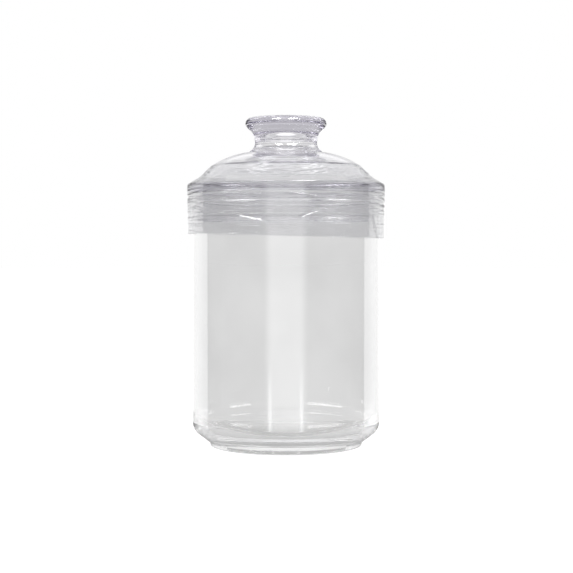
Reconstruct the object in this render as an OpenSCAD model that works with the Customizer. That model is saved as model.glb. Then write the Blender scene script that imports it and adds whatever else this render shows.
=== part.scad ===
// Clear moulded apothecary jar with a plug lid, a hollow knob bonded into the lid,
// a seal ring in the lid's groove and a clear shrunk film over the closed joint.
// Millimetres, +Z up, origin at the centre of the foot's resting face.

/* [Jar body] */
// Outer diameter of the straight wall
body_d = 103; // [95:0.5:110]
// Thickness of the wall at the mouth
wall = 1.8; // [1.5:0.1:2.2]
// Height from the resting face to the top of the rim
body_h = 138; // [110:1:180]
// Diameter of the rim bead
rim_d = 107.6; // [106.8:0.2:107.8]
// Height of the rim bead
rim_h = 5.5; // [4:0.5:8]
// Height of the floor's upper face above the resting face
floor_z = 7; // [6:0.5:8]
// Radius of the fillet between floor and wall, inside
inner_fillet = 12; // [8:0.5:14]

/* [Foot] */
// Outer diameter of the foot ring
foot_d = 83.4; // [80:0.2:86]
// Height of the foot ring
foot_h = 2.3; // [1.5:0.1:3]
// Diameter of the hollow under the floor
recess_d = 66; // [50:1:70]
// Depth of the hollow under the floor
recess_h = 3.6; // [2:0.1:4]
// Slope of the shoulder above the foot, from the horizontal
shoulder_slope = 37; // [30:1:45]
// Radius where the shoulder turns into the wall
shoulder_r = 8.5; // [6:0.5:9]

/* [Lid] */
// Diameter of the lid's flange
flange_d = 108; // [108:0.2:110]
// Height of the flange's upright edge, with its upper corner
flange_h = 5.5; // [4.5:0.1:6]
// Slope of the flange's top, from the horizontal
flange_slope = 30; // [25:1:35]
// Radius of the dome's curve
dome_r = 43.6; // [42:0.2:45]
// Diameter of the dome's flat middle
dome_flat_d = 32.4; // [30:0.2:34]
// Diameter at which the dome turns into its straight flank
flank_d = 81; // [78:0.5:84]
// Slope of the flank, from the horizontal
flank_slope = 44; // [42:0.5:46]
// Height of the dome's flat middle above the rim
dome_h = 22.8; // [20:0.2:26]
// Wall thickness of the dome and the plug
lid_wall = 2.3; // [1.8:0.1:2.6]
// Depth of the plug below the flange
plug_depth = 15; // [10:0.5:20]
// Diameter of the boss under the dome that holds the knob
boss_d = 45.2; // [42:0.2:48]
// Thickness of the dome and its boss, where the knob is bonded in
boss_h = 6.2; // [5:0.1:7]

/* [Knob] */
// Diameter of the knob's head
knob_d = 44.6; // [40:0.2:48]
// Diameter of the waist
waist_d = 34.2; // [32:0.2:35]
// Diameter of the knob's foot on the dome
knob_foot_d = 39.6; // [38:0.2:42]
// Height of the knob above the dome's flat middle
knob_h = 18.7; // [17:0.1:22]
// Radius of the head's rounded edge
head_round = 3.2; // [2:0.1:4]

/* [Seal and film] */
// Height of the seal ring
seal_h = 2.9; // [2:0.1:4]
// Diameter of the film's upper edge on the dome
film_top_d = 80; // [70:1:90]
// Height of the film's lower edge below the rim
film_drop = 23; // [15:0.5:26]

/* [Hidden] */
$fn = 128;
over = 1; // how far a cutting shape runs past what it cuts
hair = 0.01; // overlap of two shapes that are joined

body_r = body_d / 2;
mouth_r = body_r - wall;
mouth_h = 3; // straight stretch at the mouth, above the drafted wall
draft = 0.3; // how much narrower the inside is at the fillet than at the mouth
rim_r = rim_d / 2;
rim_round = 1.2;
foot_r = foot_d / 2;
foot_round = 0.6;
recess_round = 1.4;
shoulder_h = 11; // from the top of the foot ring to the centre of the shoulder's curve

rest_gap = 0.05; // the lid hangs on its seal, a hair above the rim
lid_z = body_h + rest_gap;
flange_r = flange_d / 2;
flange_round = 1.6;
flange_low_round = 0.8;
flange_edge = [flange_r - flange_round, lid_z + flange_h - flange_round];
dome_top = lid_z + dome_h;
dome_centre_r = dome_flat_d / 2;
dome_centre_z = dome_top - dome_r;
flank_r = flank_d / 2;
flank_top = [flank_r, dome_centre_z + sqrt(pow(dome_r, 2) - pow(flank_r - dome_centre_r, 2))];
boss_round = 1.4;

plug_r = mouth_r - 1.1;
plug_in_r = plug_r - lid_wall;
plug_z = lid_z - plug_depth;
plug_round = 0.6;
lip_h = 0.8; // plug wall below the seal's groove
groove_z = plug_z + lip_h;
groove_depth = 1;
seal_gap = 0.05; // running clearance of the seal in its groove
seal_r = mouth_r - 0.15;
seal_round = 0.7;

waist_r = waist_d / 2;
waist_z = dome_top + 5.2;
knob_top = dome_top + knob_h;
knob_foot_edge = 0.5;
spigot_r = 17.8;
spigot_z = dome_top - 1.85;
bond_gap = 0.05;
core_mouth_r = 15.2; // the knob's hollow at its mouth
core_r = 13.4; // and at the foot of its curved shoulder
core_z = waist_z - 2;
core_round = 10;
core_turn = 60; // how far the shoulder curves in before the crown
crown_r = 30;

film_gap = 0.15; // between the film and the lid
film = 0.35;

function polar(radius, angle) = [radius * cos(angle), radius * sin(angle)];

// Upper end of the dome's flank, on a dome made smaller by inset.
function flank_start(inset) = flank_top - polar(inset, 90 - flank_slope);

// Turns an outline drawn in the radius and height plane into a round part.
module turned() {
    rotate_extrude() children();
}

// Rectangle from radius r0 to r1 and height z0 to z1.
module band(r0, r1, z0, z1) {
    translate([r0, z0]) square([r1 - r0, z1 - z0]);
}

// The same rectangle with both corners at r1 rounded.
module rounded_band(r0, r1, z0, z1, corner) {
    band(r0, r1 - corner, z0, z1);
    band(r0, r1, z0 + corner, z1 - corner);
    for (z = [z0 + corner, z1 - corner])
        translate([r1 - corner, z]) circle(corner);
}

// Foot ring, sloping shoulder, straight wall and rim bead, filled solid.
module body_outside() {
    turn = [body_r - shoulder_r, foot_h + shoulder_h];
    tangent = turn + polar(shoulder_r, shoulder_slope - 90);
    shoulder_foot_r = tangent[0] - (tangent[1] - foot_h) / tan(shoulder_slope);
    rounded_band(0, foot_r, 0, foot_h + over, foot_round);
    polygon([[0, foot_h], [shoulder_foot_r, foot_h], tangent, turn, [0, turn[1]]]);
    translate(turn) circle(shoulder_r);
    band(0, body_r, turn[1], body_h - over);
    rounded_band(0, rim_r, body_h - rim_h, body_h, rim_round);
}

// The space inside: drafted wall, round fillet and flat floor.
module body_inside() {
    fillet = [mouth_r - draft - inner_fillet, floor_z + inner_fillet];
    band(0, fillet[0], floor_z, fillet[1] + over);
    translate(fillet) circle(inner_fillet);
    polygon([
        [0, fillet[1]], [mouth_r - draft, fillet[1]],
        [mouth_r, body_h - mouth_h], [mouth_r, body_h + over], [0, body_h + over]
    ]);
}

// The shallow hollow under the floor, with a rounded ceiling edge.
module foot_recess() {
    inner_r = recess_d / 2 - recess_round;
    band(0, inner_r, -over, recess_h);
    band(0, recess_d / 2, -over, recess_h - recess_round);
    translate([inner_r, recess_h - recess_round]) circle(recess_round);
}

module jar_body() {
    color([0.86, 0.86, 0.88, 0.35]) turned() difference() {
        body_outside();
        body_inside();
        foot_recess();
    }
}

// The dome above base_z, made smaller by inset: flat middle, round curve and straight flank.
module dome_profile(inset, base_z) {
    flank = flank_start(inset);
    crest_z = dome_top + over;
    intersection() {
        translate([dome_centre_r, dome_centre_z]) circle(dome_r - inset);
        polygon([
            [dome_centre_r, base_z], [flank[0] + (flank[1] - base_z) / tan(flank_slope), base_z],
            [flank[0] - (crest_z - flank[1]) / tan(flank_slope), crest_z], [dome_centre_r, crest_z]
        ]);
    }
    band(0, dome_centre_r, base_z, dome_top - inset);
}

// Sloping top of the flange with its rounded edge, made larger by grow.
module flange_top(grow) {
    slope_start = flange_edge + polar(flange_round + grow, 90 - flange_slope);
    rise = (slope_start[0] - dome_centre_r) * tan(flange_slope);
    translate(flange_edge) circle(flange_round + grow);
    polygon([
        [0, lid_z + over], [flange_edge[0], lid_z + over], flange_edge, slope_start,
        [dome_centre_r, slope_start[1] + rise], [0, slope_start[1] + rise]
    ]);
}

// Flange with a rounded edge and a sloping top that runs up to the dome.
module flange_profile() {
    rounded_band(0, flange_r, lid_z, flange_edge[1], flange_low_round);
    band(0, flange_r, lid_z + flange_low_round, flange_edge[1]);
    intersection() {
        flange_top(0);
        band(0, flange_r, lid_z, dome_top - boss_h);
    }
}

// Plug wall that hangs in the mouth, with the seal's groove and a lip under it.
module plug_profile() {
    difference() {
        rounded_band(plug_in_r, plug_r, plug_z, lid_z + 2 * over, plug_round);
        band(plug_r - groove_depth, plug_r + over, groove_z, groove_z + seal_h + 2 * seal_gap);
    }
}

// Dome and flange, hollowed out from below.
module shell_profile() {
    flank = flank_start(lid_wall);
    inside_z = flank[1] - (plug_in_r - flank[0]) * tan(flank_slope);
    difference() {
        union() {
            dome_profile(0, lid_z + over);
            flange_profile();
        }
        dome_profile(lid_wall, inside_z);
        band(0, plug_in_r, lid_z - over, inside_z + hair);
    }
}

module lid() {
    boss_z = dome_top - boss_h;
    color([0.84, 0.84, 0.88, 0.4]) turned() difference() {
        union() {
            shell_profile();
            plug_profile();
            rounded_band(0, boss_d / 2, boss_z, dome_top - lid_wall + over, boss_round);
        }
        band(0, spigot_r + bond_gap, boss_z - over, dome_top + over);
    }
}

// Head, waist and foot of the knob: two tangent curves above the waist, one below it.
module knob_outside() {
    edge = [knob_d / 2 - head_round, knob_top - head_round];
    dr = edge[0] - waist_r;
    dz = edge[1] - waist_z;
    neck_r = (dz * dz + dr * dr - head_round * head_round) / (2 * (head_round + dr));
    neck = [waist_r + neck_r, waist_z];
    touch = edge + (neck - edge) * head_round / (head_round + neck_r);
    difference() {
        polygon([[0, waist_z], neck, touch, edge, [edge[0], knob_top], [0, knob_top]]);
        translate(neck) circle(neck_r);
    }
    translate(edge) circle(head_round);
    flare = knob_foot_d / 2 - waist_r;
    fall = waist_z - dome_top - knob_foot_edge;
    flare_r = (fall * fall + flare * flare) / (2 * flare);
    difference() {
        band(0, knob_foot_d / 2, dome_top, waist_z);
        translate([waist_r + flare_r, waist_z]) circle(flare_r);
    }
}

// Hollow of the knob, open downwards: a tapered mouth, a curved shoulder and a shallow crown.
module knob_inside() {
    shoulder = [core_r - core_round, core_z];
    shoulder_end = shoulder + polar(core_round, core_turn);
    taper = (core_mouth_r - core_r) / (core_z - spigot_z);
    polygon([
        [0, spigot_z - over], [core_mouth_r + taper * over, spigot_z - over],
        [core_r, core_z + hair], [0, core_z + hair]
    ]);
    intersection() {
        translate(shoulder) circle(core_round);
        band(shoulder_end[0], core_r, core_z, shoulder_end[1]);
    }
    intersection() {
        translate([0, shoulder_end[1] - crown_r]) circle(crown_r);
        band(0, shoulder_end[0] + hair, core_z, shoulder_end[1]);
    }
}

module knob() {
    color([0.84, 0.84, 0.88, 0.4]) turned() difference() {
        union() {
            knob_outside();
            band(0, spigot_r, spigot_z, dome_top + over);
        }
        knob_inside();
    }
}

module seal_ring() {
    seal_in = plug_r - groove_depth + seal_gap;
    color([0.9, 0.9, 0.9, 0.5]) turned()
        rounded_band(seal_in, seal_r, groove_z + seal_gap, groove_z + seal_gap + seal_h, seal_round);
}

// Outside of the closed lid from the dome down past the rim, made larger by grow.
module lid_outline(grow) {
    dome_profile(-grow, flange_edge[1]);
    flange_top(grow);
    band(0, flange_r + grow, body_h - film_drop - over, flange_edge[1]);
}

// Film shrunk over the edge of the dome and the flange, hanging down round the jar's rim.
module shrink_band() {
    color([0.9, 0.9, 0.93, 0.25]) turned() intersection() {
        difference() {
            lid_outline(film_gap + film);
            lid_outline(film_gap);
        }
        band(film_top_d / 2, flange_r + over, body_h - film_drop, dome_top);
    }
}

jar_body();
lid();
knob();
seal_ring();
shrink_band();
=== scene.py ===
import math

import bpy
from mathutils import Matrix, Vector, noise


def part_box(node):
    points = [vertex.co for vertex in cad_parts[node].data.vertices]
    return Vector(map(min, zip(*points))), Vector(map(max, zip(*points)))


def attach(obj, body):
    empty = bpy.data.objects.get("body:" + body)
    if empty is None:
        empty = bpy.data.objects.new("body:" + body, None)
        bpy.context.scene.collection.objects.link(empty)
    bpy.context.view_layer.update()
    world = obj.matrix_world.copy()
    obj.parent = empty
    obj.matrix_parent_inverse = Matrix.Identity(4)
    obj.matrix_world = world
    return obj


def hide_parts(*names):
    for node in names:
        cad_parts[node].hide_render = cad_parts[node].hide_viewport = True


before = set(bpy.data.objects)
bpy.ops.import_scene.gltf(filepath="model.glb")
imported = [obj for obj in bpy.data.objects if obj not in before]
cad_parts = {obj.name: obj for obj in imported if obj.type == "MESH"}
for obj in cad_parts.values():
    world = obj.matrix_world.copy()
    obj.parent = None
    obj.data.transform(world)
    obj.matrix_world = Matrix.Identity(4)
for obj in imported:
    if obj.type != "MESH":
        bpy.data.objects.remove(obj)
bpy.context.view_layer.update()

# Camera: width of its frame and lens in millimetres, then where it stands and looks, in metres.
SENSOR = 36
LENS = 85
CAMERA_NEAREST = 0.01
CAMERA_FROM = Vector((0.0003, -0.7455, 0.1092))
CAMERA_AT = Vector((0.0003, 0, 0.0871))

# Film, in metres. Its line runs down from the dome, over the flange and past the jar's rim.
FILM_THICKNESS = 0.00008
FILM_CLEARANCE = 0.00027
FILM_STEP = 0.00026
FILM_COLUMNS = 440
# Radius and height of the line's corners on the dome and at both ends of the flange's sloping top.
DOME_CORNERS = ((0.0391, 0.1543), (0.0405, 0.15338), (0.0471, 0.14695))
FLANGE_TOP = ((0.0481, 0.14625), (0.0532, 0.14334))
# The flange's slope is 30 degrees, so its rounded edge turns from 60 degrees above level down to level.
FLANGE_ROUND = 0.0016
ROUND_FROM = 60
ROUND_STEPS = 6
# Each normal of the line is taken from the points this many steps before and after.
NORMAL_REACH = 2
# The film's upper and lower edges wander up and down, and the lower one leans too. The shift fades away
# from the edge by the power, and the place picks a part of the noise.
TOP_WANDER = 0.003
TOP_WAVES = 2.2
LOW_WANDER = 0.0008
LOW_WAVES = 1.7
LOW_TILT = 0.0012
WANDER_PLACE = 3.0
WANDER_POWER = 4
# In the first share of its line the film closes in on the dome, and its wrinkles die away to the edge.
GRIP_SHARE = 0.09
GRIP = 0.7

# Wrinkles, in millimetres. Below the rim the film may sink deeper, and still lifts off over the rim.
MILLIMETRE = 0.001
FILM_RADIUS = 54
RIM_LOW = 132.5
HIGHEST = 0.16
DEEPEST_ON_LID = -0.18
DEEPEST_BELOW = -0.36
# Each kind of wrinkle: length round the jar, height up it, place in the noise, and depth.
RIPPLES = (
    (16, 1.3, 0, 0.055),
    (40, 4, 40, 0.09),
)
# On the dome the film is crumpled as well. These wrinkles begin at a height and grow over the blend.
CRUMPLE = (5, 2.2, 80, 0.26)
CRUMPLE_FROM = 143.5
CRUMPLE_BLEND = 3

# Creases: azimuth from the front in degrees and height in millimetres, at both ends, then how far the
# crease lifts the film, or sinks it where it is a dent, and its half width, in millimetres.
CREASES = (
    (-19, 142.6, 16, 142.8, 0.20, 0.38),
    (-34, 136.6, -12, 135.6, 0.30, 0.45),
    (2, 136.8, 16, 135.2, 0.24, 0.40),
    (-28, 139.2, -17, 138.7, 0.24, 0.38),
    (17, 139.9, 34, 139.2, 0.24, 0.40),
    (15, 133.2, 31, 133.0, 0.30, 0.45),
    (-25, 125.2, -17, 123.6, -0.40, 0.48),
    (-17, 124.6, -11, 122.4, -0.36, 0.52),
    (9, 125.2, 17, 127.9, -0.42, 0.44),
    (45, 125.0, 51, 118.0, -0.34, 0.50),
    (57, 125.0, 63, 117.0, -0.34, 0.50),
    (-62, 130.0, -47, 127.5, -0.36, 0.52),
    (-100, 128.0, -80, 131.0, -0.36, 0.52),
    (-140, 137.0, -112, 135.8, 0.24, 0.40),
    (-158, 125.5, -150, 121.0, -0.36, 0.52),
    (-178, 134.0, -160, 133.4, 0.24, 0.38),
    (72, 134.5, 96, 133.0, 0.24, 0.40),
    (104, 126.0, 113, 121.5, -0.36, 0.52),
    (118, 137.2, 146, 136.2, 0.24, 0.40),
    (150, 127.5, 172, 129.8, -0.36, 0.54),
)
# Share of its length over which a crease fades out, beyond each end.
CREASE_FADE = 0.3

# Surface of each plastic: scale of its waves in 1/m along X, Y and Z, their detail, their depth in
# metres, and how rough its smudges are.
WALL_SKIN = {"scale": (110, 110, 14), "detail": 1.0, "depth": 0.00004, "haze": 0.03}
LID_SKIN = {"scale": (90, 90, 90), "detail": 1.0, "depth": 0.00002, "haze": 0.03}
SEAL_SKIN = {"scale": (200, 200, 200), "detail": 2.0, "depth": 0.00003, "haze": 0.12}
FILM_SKIN = {"scale": (70, 70, 900), "detail": 3.0, "depth": 0.00012, "haze": 0.05}
# Smudges and clouds: scale of their noise in 1/m, its detail, and the stretch of it that they span.
SMUDGES = {"scale": 60.0, "detail": 3.0, "low": 0.5, "high": 0.75}
CLOUDS = {"scale": 26.0, "detail": 2.0, "low": 0.35, "high": 0.65}
CLOUD_DARKEST = 0.965
CLOUD_LIGHTEST = 1.01

# Plastics: tint at the surface, how fast the colour deepens in 1/m, and the colour that it deepens towards.
CLEAR_TINT = (0.975, 0.975, 0.975)
LID_TINT = (0.985, 0.985, 0.985)
LID_DENSITY = 46.0
LID_DEPTH = (0.60, 0.585, 0.66)
KNOB_DENSITY = 38.0
KNOB_DEPTH = (0.74, 0.725, 0.78)
SEAL_TINT = (0.97, 0.97, 0.97)
SEAL_DENSITY = 70.0
SEAL_DEPTH = (0.7, 0.7, 0.73)
SEAL_IOR = 1.45
FILM_TINT = (0.872, 0.872, 0.882)

# Studio lights, by direction from the jar in degrees: side from -Y, rise above level, half width, half
# height and soft edge, then brightness.
FRONT_CARD = (0, -5, 22, 30, 6, 3.2)
MIRRORED_LAMPS = (
    (-32, 46, 14, 12, 2, 24),
    (27, 46, 19, 12, 2, 24),
    (0, 44, 18, 6, 3, 2.5),
    (-140, 68, 18, 5, 3, 3.4),
    (140, 68, 18, 5, 3, 3.4),
    (-83, -3, 0.8, 5, 0.6, 0.25),
    (83, -3, 0.8, 5, 0.6, 0.25),
    (-19, -8.5, 2, 2.5, 1.5, 4),
    (19, -8.5, 2, 2.5, 1.5, 4),
)
LAMPS_BEHIND = (
    (-56, 15, 26, 3.5, 2, 9),
    (66, 15, 16, 3.5, 2, 9),
)
# Ramps of brightness: two angles, and the brightness at each. The first three go by the angle from -Y
# round the jar, and the others by the angle above level.
SIDE_CARD_EDGE = (109, 112, 0.0, 2.2)
SIDE_CARD_FADE = (125, 155, 1.0, 0.62)
OPEN_BEHIND = (158, 168, 0.1, 0.6)
ABOVE_TABLE = (-8.4, -7.4, 0.15, 1.0)
BACKDROP_LOW = (2, 5, 0.77, 1.0)
BACKDROP_HIGH = (25, 40, 1.0, 0.8)
OVERHEAD = (55, 70, 0.0, 0.6)
# Darker belts: the elevations where they begin, those where they end, and their brightness.
SIDE_BELT = ((1.9, 2.4), (16, 28), 0.1)
FRONT_BELT = ((0.3, 1.2), (3.5, 4.5), 0.3)
DIRECT_SKY = 1.0
DIFFUSE_SKY = 1.03

# Floor: sizes in metres, and a glow with a soft shade where the jar stands. DIRECT_GLOW is added where the
# floor is seen directly.
FLOOR_RADIUS = 6
FLOOR_SIDES = 96
FLOOR_DROP = 0.0002
FLOOR_GREY = 0.12
FLOOR_GLOW = 0.646
SHADE_GLOW = 0.48
SHADE_INNER = 0.036
SHADE_OUTER = 0.049
DIRECT_GLOW = 0.5

# Light that is caught inside the thick rings needs many bounces.
BOUNCES = 128
GLOSSY_BOUNCES = 64
TRANSPARENT_BOUNCES = 16


def limited(value, low, high):
    """The value, kept between two limits."""
    return max(low, min(high, value))


class Nodes:
    """Adds shader nodes to one tree and wires them up."""

    def __init__(self, tree):
        self.tree = tree
        tree.nodes.clear()

    def add(self, kind, inputs=None, **settings):
        """New node. An input is another node's output, which is linked, or else a value."""
        node = self.tree.nodes.new(kind)
        for name, value in settings.items():
            setattr(node, name, value)
        for key, value in (inputs or {}).items():
            if isinstance(value, bpy.types.NodeSocket):
                self.tree.links.new(value, node.inputs[key])
            else:
                node.inputs[key].default_value = value
        return node

    def calc(self, operation, *values):
        """One operation of the Math node."""
        return self.add("ShaderNodeMath", dict(enumerate(values)), operation=operation).outputs[0]

    def combine(self, operation, values):
        """Applies one operation to all the values in turn."""
        result = values[0]
        for value in values[1:]:
            result = self.calc(operation, result, value)
        return result

    def product(self, *values):
        """All the values multiplied."""
        return self.combine("MULTIPLY", values)

    def total(self, *values):
        """All the values added."""
        return self.combine("ADD", values)

    def remap(self, value, low, high, at_low, at_high, **settings):
        """Change from at_low to at_high while the value goes from low to high."""
        return self.add("ShaderNodeMapRange", {
            "Value": value, "From Min": low, "From Max": high, "To Min": at_low, "To Max": at_high,
        }, **settings).outputs[0]

    def texture(self, place, scale, detail):
        """Noise between 0 and 1."""
        inputs = {"Vector": place, "Scale": scale, "Detail": detail}
        return self.add("ShaderNodeTexNoise", inputs).outputs[0]

    def patches(self, place, pattern, at_low, at_high):
        """Smudges or clouds, as a value between at_low and at_high."""
        spots = self.texture(place, pattern["scale"], pattern["detail"])
        return self.remap(spots, pattern["low"], pattern["high"], at_low, at_high)


class Sky(Nodes):
    """Nodes for a brightness that depends on the direction, with angles in degrees."""

    def __init__(self, tree):
        super().__init__(tree)
        direction = self.add("ShaderNodeTexCoord").outputs["Generated"]
        axes = self.add("ShaderNodeSeparateXYZ", {0: direction}).outputs
        self.azimuth = self.calc("ARCTAN2", axes[0], self.calc("MULTIPLY", axes[1], -1.0))
        self.side = self.calc("ABSOLUTE", self.azimuth)
        self.elevation = self.calc("ARCSINE", axes[2])

    def ramp(self, angle, low, high, at_low, at_high):
        """Smooth change from at_low to at_high between two angles."""
        return self.remap(angle, math.radians(low), math.radians(high), at_low, at_high,
                          interpolation_type="SMOOTHSTEP")

    def trough(self, fall, rise, low):
        """1 below and above a range of elevations, and low in it."""
        falling = self.ramp(self.elevation, *fall, 1.0, low)
        rising = self.ramp(self.elevation, *rise, low, 1.0)
        return self.calc("MAXIMUM", falling, rising)

    def panel(self, side, rise, half_width, half_height, edge, strength):
        """A soft-edged lamp or card."""
        off_side = self.calc("ABSOLUTE", self.calc("SUBTRACT", self.azimuth, math.radians(side)))
        off_rise = self.calc("ABSOLUTE", self.calc("SUBTRACT", self.elevation, math.radians(rise)))
        across = self.ramp(off_side, half_width - edge, half_width + edge, strength, 0.0)
        along = self.ramp(off_rise, half_height - edge, half_height + edge, 1.0, 0.0)
        return self.product(across, along)

    def choose(self, flag, yes, no):
        """The first brightness where the flag is 1, and the second where it is 0."""
        rest = self.product(self.calc("SUBTRACT", 1.0, flag), no)
        return self.total(self.product(flag, yes), rest)


def clear_plastic(name, tint, skin, ior=1.5, density=0.0, depth_colour=(1, 1, 1)):
    """Clear material: slight waves, smudges and clouds, and a colour that deepens with its thickness."""
    material = bpy.data.materials.new(name)
    material.use_nodes = True
    n = Nodes(material.node_tree)
    place = n.add("ShaderNodeTexCoord").outputs["Object"]
    stretched = n.add("ShaderNodeMapping", {"Vector": place, "Scale": skin["scale"]}).outputs[0]
    waves = n.texture(stretched, 1.0, skin["detail"])
    bump = n.add("ShaderNodeBump", {"Height": waves, "Strength": 1.0, "Distance": skin["depth"]})
    haze = n.patches(place, SMUDGES, 0.0, skin["haze"])
    cloud = n.patches(place, CLOUDS, CLOUD_DARKEST, CLOUD_LIGHTEST)
    clouded = n.add("ShaderNodeVectorMath", {0: tint, "Scale": cloud}, operation="SCALE").outputs[0]
    shader = n.add("ShaderNodeBsdfPrincipled", {
        "Base Color": clouded,
        "Roughness": haze,
        "IOR": ior,
        "Transmission Weight": 1.0,
        "Normal": bump.outputs[0],
    })
    absorption = n.add("ShaderNodeVolumeAbsorption", {"Color": (*depth_colour, 1), "Density": density})
    n.add("ShaderNodeOutputMaterial", {"Surface": shader.outputs[0], "Volume": absorption.outputs[0]})
    return material


def jar_plastic():
    """Colourless, with long upright waves in the wall."""
    return clear_plastic("clear_plastic", CLEAR_TINT, WALL_SKIN)


def lid_plastic():
    """A violet-grey cast where it is thick."""
    return clear_plastic("lid_plastic", LID_TINT, LID_SKIN, density=LID_DENSITY, depth_colour=LID_DEPTH)


def knob_plastic():
    """The lid's plastic with a weaker cast."""
    return clear_plastic("knob_plastic", LID_TINT, LID_SKIN, density=KNOB_DENSITY, depth_colour=KNOB_DEPTH)


def seal_plastic():
    """Slightly milky, with more haze and a lower refractive index."""
    return clear_plastic("clear_seal", SEAL_TINT, SEAL_SKIN, SEAL_IOR, SEAL_DENSITY, SEAL_DEPTH)


def film_plastic():
    """Thin film with fine level waves."""
    return clear_plastic("clear_film", FILM_TINT, FILM_SKIN)


def paint(node, material):
    """Gives all of a CAD node one material."""
    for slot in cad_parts[node].material_slots:
        slot.material = material


def point_along(start, end, distance):
    """Point on the line from start towards end, in radius and height."""
    length = math.dist(start, end)
    return tuple(a + (b - a) * distance / length for a, b in zip(start, end))


def film_corners():
    """Corners of the film's line, in radius and height, top to bottom."""
    flange_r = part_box("lid")[1][0]
    low_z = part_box("shrink_band")[0][2]
    corners = [*DOME_CORNERS, *FLANGE_TOP]
    centre_r = flange_r - FLANGE_ROUND
    centre_z = FLANGE_TOP[1][1] - FLANGE_ROUND * math.sin(math.radians(ROUND_FROM))
    for step in range(1, ROUND_STEPS + 1):
        angle = math.radians(ROUND_FROM * (1 - step / ROUND_STEPS))
        r = centre_r + FLANGE_ROUND * math.cos(angle)
        z = centre_z + FLANGE_ROUND * math.sin(angle)
        corners.append((r, z))
    corners.append((flange_r, low_z))
    return corners


def film_line():
    """The film's middle line: evenly spaced points with their outward normals, top to bottom."""
    corners = film_corners()
    points = []
    distance = 0.0
    for start, end in zip(corners, corners[1:]):
        length = math.dist(start, end)
        while distance < length:
            points.append(point_along(start, end, distance))
            distance += FILM_STEP
        distance -= length
    points.append(corners[-1])
    line = []
    for index, here in enumerate(points):
        before = points[max(index - NORMAL_REACH, 0)]
        after = points[min(index + NORMAL_REACH, len(points) - 1)]
        length = math.dist(before, after)
        normal = ((before[1] - after[1]) / length, (after[0] - before[0]) / length)
        line.append((here, normal))
    return line


def crease_lift(azimuth, height):
    """How far the creases lift the film, in mm, at an azimuth in degrees and a height in mm."""
    lift = 0.0
    for start_az, start_z, end_az, end_z, ridge, half_width in CREASES:
        along = (azimuth - start_az) / (end_az - start_az)
        if -CREASE_FADE < along < 1 + CREASE_FADE:
            line_z = start_z + (end_z - start_z) * along
            run = math.radians(end_az - start_az) * FILM_RADIUS
            slant = math.hypot(run, end_z - start_z) / run
            off = (height - line_z) / (half_width * slant)
            fade_in = limited((along + CREASE_FADE) / CREASE_FADE, 0, 1)
            fade_out = limited((1 + CREASE_FADE - along) / CREASE_FADE, 0, 1)
            lift += ridge * fade_in * fade_out * math.exp(-off * off)
    return lift


def wrinkle(turn, climb, length, height, place, depth):
    """Smooth noise round and up the film, in mm."""
    across = FILM_RADIUS / length
    up = climb / height + place
    return depth * noise.noise(Vector((across * math.cos(turn), across * math.sin(turn), up)))


def film_lift(azimuth, radius, height):
    """How far the film stands off its line: all in mm, and the azimuth in degrees."""
    turn = math.radians(azimuth)
    climb = height - radius
    lift = crease_lift(azimuth, height)
    for ripple in RIPPLES:
        lift += wrinkle(turn, climb, *ripple)
    on_dome = limited((height - CRUMPLE_FROM) / CRUMPLE_BLEND, 0, 1)
    lift += on_dome * wrinkle(turn, climb, *CRUMPLE)
    deepest = DEEPEST_ON_LID if height > RIM_LOW else DEEPEST_BELOW
    return limited(lift, deepest, HIGHEST)


def film_vertices(line):
    """Outer surface, then inner surface: a column of points for each azimuth."""
    vertices = []
    for side in (1, -1):
        for column in range(FILM_COLUMNS):
            azimuth = 360 * column / FILM_COLUMNS - 180
            turn = math.radians(azimuth)
            around = Vector((math.cos(turn), math.sin(turn), WANDER_PLACE))
            top_shift = TOP_WANDER * noise.noise(around * TOP_WAVES)
            low_shift = LOW_TILT * math.sin(turn) + LOW_WANDER * noise.noise(around * LOW_WAVES)
            for row, ((radius, height), normal) in enumerate(line):
                share = row / (len(line) - 1)
                grip = max(0.0, 1 - share / GRIP_SHARE)
                lift = MILLIMETRE * film_lift(azimuth, radius / MILLIMETRE, height / MILLIMETRE)
                out = FILM_CLEARANCE * (1 - GRIP * grip) + lift * (1 - grip) + side * FILM_THICKNESS / 2
                slide = top_shift * (1 - share) ** WANDER_POWER + low_shift * share ** WANDER_POWER
                r = radius + normal[0] * out + normal[1] * slide
                z = height + normal[1] * out - normal[0] * slide
                vertices.append((r * math.sin(turn), -r * math.cos(turn), z))
    return vertices


def film_faces(rows):
    """Both surfaces, and the strips that close the upper and the lower edge."""
    faces = []
    inner = FILM_COLUMNS * rows
    last = rows - 1
    for column in range(FILM_COLUMNS):
        here = column * rows
        there = (column + 1) % FILM_COLUMNS * rows
        for row in range(last):
            a, b, c, d = here + row, there + row, there + row + 1, here + row + 1
            faces.append((a, d, c, b))
            faces.append((inner + a, inner + b, inner + c, inner + d))
        faces.append((here, there, inner + there, inner + here))
        faces.append((here + last, inner + here + last, inner + there + last, there + last))
    return faces


def make_film():
    """The shrunk film, which stands for the plain one of the CAD model."""
    line = film_line()
    mesh = bpy.data.meshes.new("shrunk_film")
    mesh.from_pydata(film_vertices(line), [], film_faces(len(line)))
    mesh.shade_smooth()
    mesh.materials.append(film_plastic())
    film = bpy.data.objects.new("shrunk_film", mesh)
    bpy.context.scene.collection.objects.link(film)
    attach(film, "lid")
    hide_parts("shrink_band")


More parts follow.
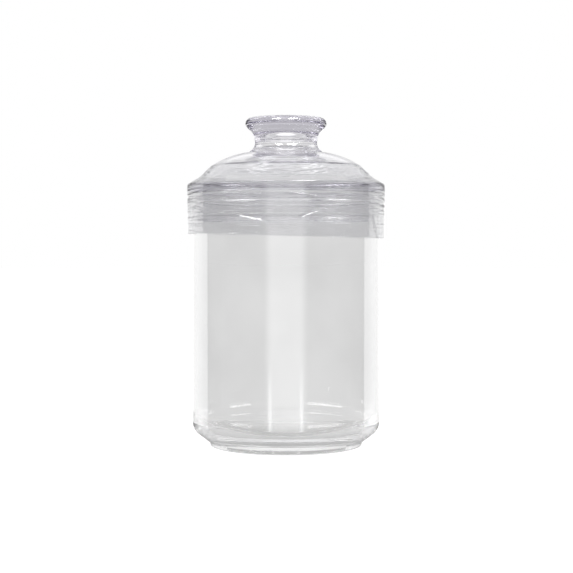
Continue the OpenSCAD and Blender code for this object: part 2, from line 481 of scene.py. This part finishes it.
def mirrored_light(sky):
    """What the surfaces mirror: white cards at the sides and in front, and lamps."""
    cards = sky.product(sky.ramp(sky.side, *SIDE_CARD_EDGE), sky.ramp(sky.side, *SIDE_CARD_FADE))
    belt = sky.calc("MAXIMUM", sky.ramp(sky.side, *OPEN_BEHIND), sky.trough(*SIDE_BELT))
    front = sky.product(sky.panel(*FRONT_CARD), sky.trough(*FRONT_BELT))
    all_cards = sky.total(sky.product(cards, belt), front)
    above_table = sky.ramp(sky.elevation, *ABOVE_TABLE)
    return sky.total(sky.product(all_cards, above_table), *(sky.panel(*lamp) for lamp in MIRRORED_LAMPS))


def light_behind(sky):
    """What is seen through the clear parts: a pale backdrop, greyer low down, and lamps."""
    backdrop = sky.product(sky.ramp(sky.elevation, *BACKDROP_LOW), sky.ramp(sky.elevation, *BACKDROP_HIGH))
    overhead = sky.ramp(sky.elevation, *OVERHEAD)
    return sky.total(backdrop, overhead, *(sky.panel(*lamp) for lamp in LAMPS_BEHIND))


def make_world():
    """Soft studio: plain white seen directly and on matt surfaces, and cards and lamps in clear plastic."""
    world = bpy.data.worlds.new("studio")
    world.use_nodes = True
    world.cycles.sampling_method = "NONE"
    sky = Sky(world.node_tree)
    rays = sky.add("ShaderNodeLightPath").outputs
    clear = sky.choose(rays["Is Transmission Ray"], light_behind(sky), mirrored_light(sky))
    indirect = sky.choose(rays["Is Diffuse Ray"], DIFFUSE_SKY, clear)
    strength = sky.choose(rays["Is Camera Ray"], DIRECT_SKY, indirect)
    background = sky.add("ShaderNodeBackground", {"Color": (1, 1, 1, 1), "Strength": strength})
    sky.add("ShaderNodeOutputWorld", {"Surface": background.outputs[0]})
    bpy.context.scene.world = world


def floor_material():
    """Pale and softly glowing, with a shade under the jar."""
    material = bpy.data.materials.new("pale_floor")
    material.use_nodes = True
    n = Nodes(material.node_tree)
    matt = n.add("ShaderNodeBsdfDiffuse", {"Color": (FLOOR_GREY, FLOOR_GREY, FLOOR_GREY, 1)})
    place = n.add("ShaderNodeTexCoord").outputs["Object"]
    radius = n.add("ShaderNodeVectorMath", {0: place}, operation="LENGTH").outputs["Value"]
    shade = n.remap(radius, SHADE_INNER, SHADE_OUTER, SHADE_GLOW, FLOOR_GLOW,
                    interpolation_type="SMOOTHSTEP")
    seen_directly = n.add("ShaderNodeLightPath").outputs["Is Camera Ray"]
    strength = n.calc("MULTIPLY_ADD", seen_directly, DIRECT_GLOW, shade)
    glow = n.add("ShaderNodeEmission", {"Strength": strength})
    both = n.add("ShaderNodeAddShader", {0: matt.outputs[0], 1: glow.outputs[0]})
    n.add("ShaderNodeOutputMaterial", {"Surface": both.outputs[0]})
    return material


def make_floor():
    """A wide floor just under the jar, which the surfaces don't mirror."""
    bpy.ops.mesh.primitive_circle_add(vertices=FLOOR_SIDES, radius=FLOOR_RADIUS, fill_type="NGON")
    floor = bpy.context.object
    floor.name = "floor"
    floor.visible_glossy = False
    floor.location.z = -FLOOR_DROP
    floor.data.materials.append(floor_material())


def make_camera():
    """Camera in front of the jar, a little above its middle."""
    camera = bpy.data.objects.new("camera", bpy.data.cameras.new("camera"))
    camera.data.lens = LENS
    camera.data.sensor_width = SENSOR
    camera.data.clip_start = CAMERA_NEAREST
    camera.location = CAMERA_FROM
    camera.rotation_euler = (CAMERA_AT - CAMERA_FROM).to_track_quat("-Z", "Y").to_euler()
    bpy.context.scene.collection.objects.link(camera)
    bpy.context.scene.camera = camera


def set_up_render():
    """Plain colours, and enough bounces for the thick clear rings."""
    scene = bpy.context.scene
    scene.view_settings.view_transform = "Standard"
    scene.cycles.max_bounces = BOUNCES
    scene.cycles.transmission_bounces = BOUNCES
    scene.cycles.glossy_bounces = GLOSSY_BOUNCES
    scene.cycles.transparent_max_bounces = TRANSPARENT_BOUNCES


paint("jar_body", jar_plastic())
paint("lid", lid_plastic())
paint("knob", knob_plastic())
paint("seal_ring", seal_plastic())
make_film()
make_world()
make_floor()
make_camera()
set_up_render()
